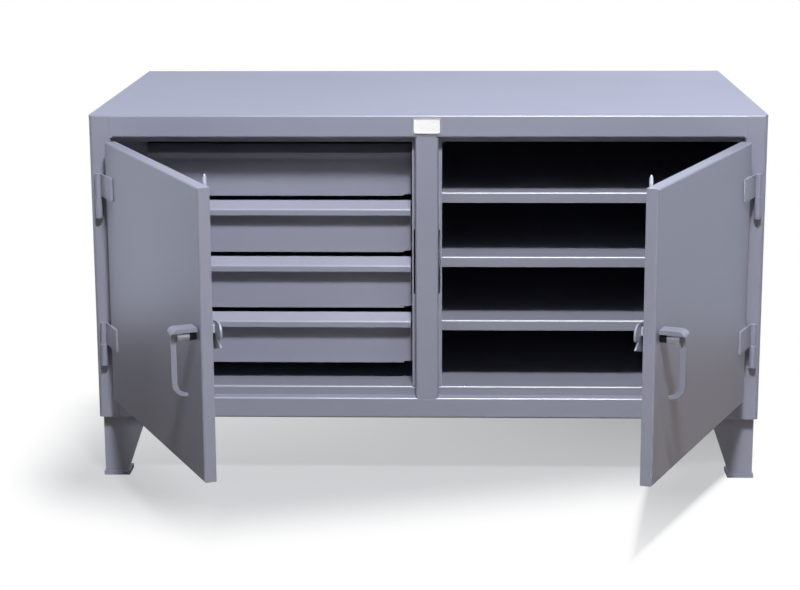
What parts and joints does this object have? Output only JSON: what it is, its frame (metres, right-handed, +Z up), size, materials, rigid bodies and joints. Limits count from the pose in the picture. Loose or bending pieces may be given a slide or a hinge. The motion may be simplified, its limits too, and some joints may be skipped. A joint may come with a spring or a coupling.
{
  "type": "workbench with cabinet doors",
  "caption": "Welded steel workbench: flat worktop on a lockable cabinet with a bank of drawers behind one door, shelves behind the other, and tapered legs with foot plates.",
  "frame": {"origin": "on the floor, under the middle of the box round the whole bench with its doors open as in the picture", "axes": "+X to the right as seen from the front, +Y from the front to the back, +Z up"},
  "size_m": [1.524, 1.5888, 0.85],
  "materials": {
    "body_paint": "semi-gloss grey-blue enamel with a slight orange peel",
    "top_paint": "semi-gloss grey-blue enamel on the worktop",
    "inner_paint": "semi-gloss grey-blue enamel inside the cabinet",
    "plated_steel": "bright zinc plate",
    "blank_plate": "plain white enamel, no marking"
  },
  "bodies": {
    "carcass": {"worktop": "top_paint", "back_panel": "body_paint", "bottom_rail": "body_paint", "floor_pan": "inner_paint", "centre_post": "body_paint", "name_plate": "blank_plate", "drawer_panel_left": "inner_paint", "drawer_panel_right": "inner_paint", "shelf_cleats_left": "inner_paint", "shelf_cleats_right": "inner_paint", "shelf_upper": "inner_paint", "shelf_middle": "inner_paint", "shelf_lower": "inner_paint", "side_panel_left": "body_paint", "divider_panel_left": "inner_paint", "leg_front_left": "body_paint", "foot_plate_front_left": "body_paint", "leg_rear_left": "body_paint", "foot_plate_rear_left": "body_paint", "hinge_frame_half_left_upper": "body_paint", "hinge_frame_half_left_lower": "body_paint", "side_panel_right": "body_paint", "divider_panel_right": "inner_paint", "leg_front_right": "body_paint", "foot_plate_front_right": "body_paint", "leg_rear_right": "body_paint", "foot_plate_rear_right": "body_paint", "hinge_frame_half_right_upper": "body_paint", "hinge_frame_half_right_lower": "body_paint"},
    "left_door": {"door_left": "body_paint", "latch_channel_left": "body_paint", "hinge_door_half_left_upper": "body_paint", "hinge_door_half_left_lower": "body_paint", "rod_guide_left_upper": "body_paint", "rod_guide_left_lower": "body_paint"},
    "right_door": {"door_right": "body_paint", "latch_channel_right": "body_paint", "hinge_door_half_right_upper": "body_paint", "hinge_door_half_right_lower": "body_paint", "rod_guide_right_upper": "body_paint", "rod_guide_right_lower": "body_paint"},
    "left_handle": {"handle_grip_left": "body_paint", "handle_spindle_left": "plated_steel", "latch_cam_left": "body_paint"},
    "left_upper_rod": {"lock_rod_left_upper": "plated_steel"},
    "left_lower_rod": {"lock_rod_left_lower": "plated_steel"},
    "right_handle": {"handle_grip_right": "body_paint", "handle_spindle_right": "plated_steel", "latch_cam_right": "body_paint"},
    "right_upper_rod": {"lock_rod_right_upper": "plated_steel"},
    "right_lower_rod": {"lock_rod_right_lower": "plated_steel"},
    "drawer_1": {"drawer_front_1": "body_paint", "drawer_box_1": "inner_paint"},
    "drawer_2": {"drawer_front_2": "body_paint", "drawer_box_2": "inner_paint"},
    "drawer_3": {"drawer_front_3": "body_paint", "drawer_box_3": "inner_paint"},
    "drawer_4": {"drawer_front_4": "body_paint", "drawer_box_4": "inner_paint"}
  },
  "joints": [
    {"name": "left_door_swing", "type": "hinge", "parent": "carcass", "child": "left_door", "pos_m": [-0.743, -0.1281, 0.494], "axis": [0, 0, -1], "range_deg": [-65, 115]},
    {"name": "right_door_swing", "type": "hinge", "parent": "carcass", "child": "right_door", "pos_m": [0.743, -0.1281, 0.494], "axis": [0, 0, 1], "range_deg": [-67, 113]},
    {"name": "left_handle_turn", "type": "hinge", "parent": "left_door", "child": "left_handle", "pos_m": [-0.44855, -0.73944, 0.494], "axis": [0.9063, 0.4226, 0], "range_deg": [0, 90]},
    {"name": "left_upper_rod_slide", "type": "slide", "parent": "left_door", "child": "left_upper_rod", "axis": [0, 0, -1], "range_m": [0, 0.0312]},
    {"name": "left_lower_rod_slide", "type": "slide", "parent": "left_door", "child": "left_lower_rod", "axis": [0, 0, 1], "range_m": [0, 0.0312]},
    {"name": "right_handle_turn", "type": "hinge", "parent": "right_door", "child": "right_handle", "pos_m": [0.47007, -0.74935, 0.494], "axis": [0.9205, -0.3907, 0], "range_deg": [0, 90]},
    {"name": "right_upper_rod_slide", "type": "slide", "parent": "right_door", "child": "right_upper_rod", "axis": [0, 0, -1], "range_m": [0, 0.0312]},
    {"name": "right_lower_rod_slide", "type": "slide", "parent": "right_door", "child": "right_lower_rod", "axis": [0, 0, 1], "range_m": [0, 0.0312]},
    {"name": "drawer_1_slide", "type": "slide", "parent": "carcass", "child": "drawer_1", "axis": [0, -1, 0], "range_m": [0, 0.2]},
    {"name": "drawer_2_slide", "type": "slide", "parent": "carcass", "child": "drawer_2", "axis": [0, -1, 0], "range_m": [0, 0.2]},
    {"name": "drawer_3_slide", "type": "slide", "parent": "carcass", "child": "drawer_3", "axis": [0, -1, 0], "range_m": [0, 0.2]},
    {"name": "drawer_4_slide", "type": "slide", "parent": "carcass", "child": "drawer_4", "axis": [0, -1, 0], "range_m": [0, 0.2]}
  ],
  "couplings": [
    {"joint": "left_upper_rod_slide", "follows": "left_handle_turn", "m_per_rad": 0.0198},
    {"joint": "left_lower_rod_slide", "follows": "left_handle_turn", "m_per_rad": 0.0198},
    {"joint": "right_upper_rod_slide", "follows": "right_handle_turn", "m_per_rad": 0.0198},
    {"joint": "right_lower_rod_slide", "follows": "right_handle_turn", "m_per_rad": 0.0198}
  ]
}
